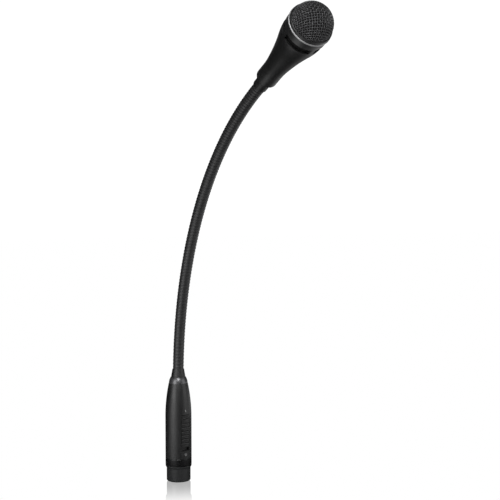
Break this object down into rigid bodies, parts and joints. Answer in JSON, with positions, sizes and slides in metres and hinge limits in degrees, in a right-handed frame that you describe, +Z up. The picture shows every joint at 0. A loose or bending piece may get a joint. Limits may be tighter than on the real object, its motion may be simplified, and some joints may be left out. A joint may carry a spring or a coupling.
{
  "type": "gooseneck microphone",
  "caption": "Plug-in gooseneck microphone: three-contact plug, handle with slide switch, flexible wound neck, flared head with domed mesh grille.",
  "frame": {"origin": "centre of the plug's mouth, on the plug's axis", "axes": "+Z up the plug and handle, the neck bends towards -Y, +X to the right seen from -Y"},
  "size_m": [0.0293, 0.2364, 0.3425],
  "materials": {
    "plug_metal": "dark grey plated, satin",
    "handle_paint": "near-black satin paint",
    "gloss_black": "gloss black band",
    "nose_metal": "dark bright nickel nose",
    "black_plastic": "matt black moulding",
    "neck_metal": "black satin wound wire",
    "silver": "bright plated ring",
    "mesh_paint": "black painted wire mesh",
    "foam": "dark open foam",
    "felt": "dark acoustic felt",
    "contact_metal": "plated brass",
    "steel": "plain steel",
    "insulator": "black insulating moulding",
    "board": "green printed board",
    "lead_sheath": "black flexible sheath",
    "wire_red": "coloured wire insulation",
    "rubber_mount": "black rubber",
    "magnet": "sintered magnet",
    "copper": "enamelled copper",
    "film": "thin clear film"
  },
  "bodies": {
    "handle": {"plug_shell": "plug_metal", "contact_insert": "insulator", "contact_pins": "contact_metal", "earth_spring": "steel", "accent_band": "gloss_black", "handle_shell": "handle_paint", "handle_cap": "nose_metal", "lower_collar": "black_plastic", "neck_nut": "steel", "switch_tray": "black_plastic", "switch_case": "steel", "switch_contacts": "contact_metal", "switch_board": "board", "board_screws": "steel", "lead_wires": "wire_red", "inner_lead": "lead_sheath", "neck_end_lower": "neck_metal"},
    "switch": {"switch_knob": "black_plastic"},
    "link_01": {"neck_link_01": "neck_metal"},
    "link_02": {"neck_link_02": "neck_metal"},
    "link_03": {"neck_link_03": "neck_metal"},
    "link_04": {"neck_link_04": "neck_metal"},
    "link_05": {"neck_link_05": "neck_metal"},
    "link_06": {"neck_link_06": "neck_metal"},
    "link_07": {"neck_link_07": "neck_metal"},
    "link_08": {"neck_link_08": "neck_metal"},
    "link_09": {"neck_link_09": "neck_metal"},
    "link_10": {"neck_link_10": "neck_metal"},
    "link_11": {"neck_link_11": "neck_metal"},
    "link_12": {"neck_link_12": "neck_metal"},
    "link_13": {"neck_link_13": "neck_metal"},
    "link_14": {"neck_link_14": "neck_metal"},
    "link_15": {"neck_link_15": "neck_metal"},
    "head": {"neck_end_upper": "neck_metal", "upper_collar": "handle_paint", "head_bush": "steel", "head_housing": "handle_paint", "vent_felt": "felt", "felt_ring": "black_plastic", "trim_ring": "silver", "grille_rim": "black_plastic", "grille_mesh": "mesh_paint", "foam_liner": "foam", "capsule_case": "black_plastic", "capsule_yoke": "steel", "capsule_magnet": "magnet", "capsule_pole": "steel", "voice_coil": "copper", "diaphragm_seat": "black_plastic", "capsule_diaphragm": "film", "capsule_front": "black_plastic", "shock_mount": "rubber_mount", "capsule_terminals": "insulator", "capsule_wires": "wire_red"}
  },
  "joints": [
    {"name": "switch_slide", "type": "slide", "parent": "handle", "child": "switch", "axis": [0, 0, -1], "range_m": [0, 0.0025]},
    {"name": "neck_bend_lower", "type": "hinge", "parent": "handle", "child": "link_01", "pos_m": [0, 0, 0.0931], "axis": [1, 0, 0], "range_deg": [-12.5, 11.25], "deforming": ["inner_lead"]},
    {"name": "neck_sway", "type": "hinge", "parent": "link_01", "child": "link_02", "pos_m": [0, -0.00148, 0.10955], "axis": [0, 0.9923, 0.1241], "range_deg": [-7.5, 7.5], "deforming": ["inner_lead"]},
    {"name": "neck_bend_03", "type": "hinge", "parent": "link_02", "child": "link_03", "pos_m": [0, -0.0041, 0.12586], "axis": [1, 0, 0], "range_deg": [-12.5, 11.25]},
    {"name": "neck_sway_04", "type": "hinge", "parent": "link_03", "child": "link_04", "pos_m": [0, -0.00784, 0.14194], "axis": [0, 0.9655, 0.2603], "range_deg": [-7.5, 7.5]},
    {"name": "neck_bend_05", "type": "hinge", "parent": "link_04", "child": "link_05", "pos_m": [0, -0.01269, 0.15773], "axis": [1, 0, 0], "range_deg": [-12.5, 11.25]},
    {"name": "neck_sway_06", "type": "hinge", "parent": "link_05", "child": "link_06", "pos_m": [0, -0.01863, 0.17314], "axis": [0, 0.9202, 0.3915], "range_deg": [-7.5, 7.5]},
    {"name": "neck_bend_07", "type": "hinge", "parent": "link_06", "child": "link_07", "pos_m": [0, -0.02562, 0.18811], "axis": [1, 0, 0], "range_deg": [-12.5, 11.25]},
    {"name": "neck_sway_08", "type": "hinge", "parent": "link_07", "child": "link_08", "pos_m": [0, -0.03363, 0.20255], "axis": [0, 0.8571, 0.5152], "range_deg": [-7.5, 7.5]},
    {"name": "neck_bend_upper", "type": "hinge", "parent": "link_08", "child": "link_09", "pos_m": [0, -0.04262, 0.2164], "axis": [1, 0, 0], "range_deg": [-12.5, 11.25], "deforming": ["inner_lead"]},
    {"name": "neck_sway_10", "type": "hinge", "parent": "link_09", "child": "link_10", "pos_m": [0, -0.05256, 0.22959], "axis": [0, 0.7775, 0.6289], "range_deg": [-7.5, 7.5]},
    {"name": "neck_bend_11", "type": "hinge", "parent": "link_10", "child": "link_11", "pos_m": [0, -0.06339, 0.24207], "axis": [1, 0, 0], "range_deg": [-12.5, 11.25]},
    {"name": "neck_sway_12", "type": "hinge", "parent": "link_11", "child": "link_12", "pos_m": [0, -0.07505, 0.25376], "axis": [0, 0.6829, 0.7305], "range_deg": [-7.5, 7.5]},
    {"name": "neck_bend_13", "type": "hinge", "parent": "link_12", "child": "link_13", "pos_m": [0, -0.0875, 0.26461], "axis": [1, 0, 0], "range_deg": [-12.5, 11.25]},
    {"name": "neck_sway_14", "type": "hinge", "parent": "link_13", "child": "link_14", "pos_m": [0, -0.10067, 0.27457], "axis": [0, 0.5751, 0.818], "range_deg": [-7.5, 7.5]},
    {"name": "neck_bend_15", "type": "hinge", "parent": "link_14", "child": "link_15", "pos_m": [0, -0.11451, 0.2836], "axis": [1, 0, 0], "range_deg": [-12.5, 11.25]},
    {"name": "neck_sway_16", "type": "hinge", "parent": "link_15", "child": "head", "pos_m": [0, -0.12893, 0.29164], "axis": [0, 0.4473, 0.8944], "range_deg": [-7.5, 7.5]}
  ],
  "couplings": [
    {"joint": "neck_bend_03", "follows": "neck_bend_lower", "ratio": 1},
    {"joint": "neck_bend_05", "follows": "neck_bend_lower", "ratio": 1},
    {"joint": "neck_bend_07", "follows": "neck_bend_lower", "ratio": 1},
    {"joint": "neck_bend_11", "follows": "neck_bend_upper", "ratio": 1},
    {"joint": "neck_bend_13", "follows": "neck_bend_upper", "ratio": 1},
    {"joint": "neck_bend_15", "follows": "neck_bend_upper", "ratio": 1},
    {"joint": "neck_sway_04", "follows": "neck_sway", "ratio": 1},
    {"joint": "neck_sway_06", "follows": "neck_sway", "ratio": 1},
    {"joint": "neck_sway_08", "follows": "neck_sway", "ratio": 1},
    {"joint": "neck_sway_10", "follows": "neck_sway", "ratio": 1},
    {"joint": "neck_sway_12", "follows": "neck_sway", "ratio": 1},
    {"joint": "neck_sway_14", "follows": "neck_sway", "ratio": 1},
    {"joint": "neck_sway_16", "follows": "neck_sway", "ratio": 1}
  ]
}
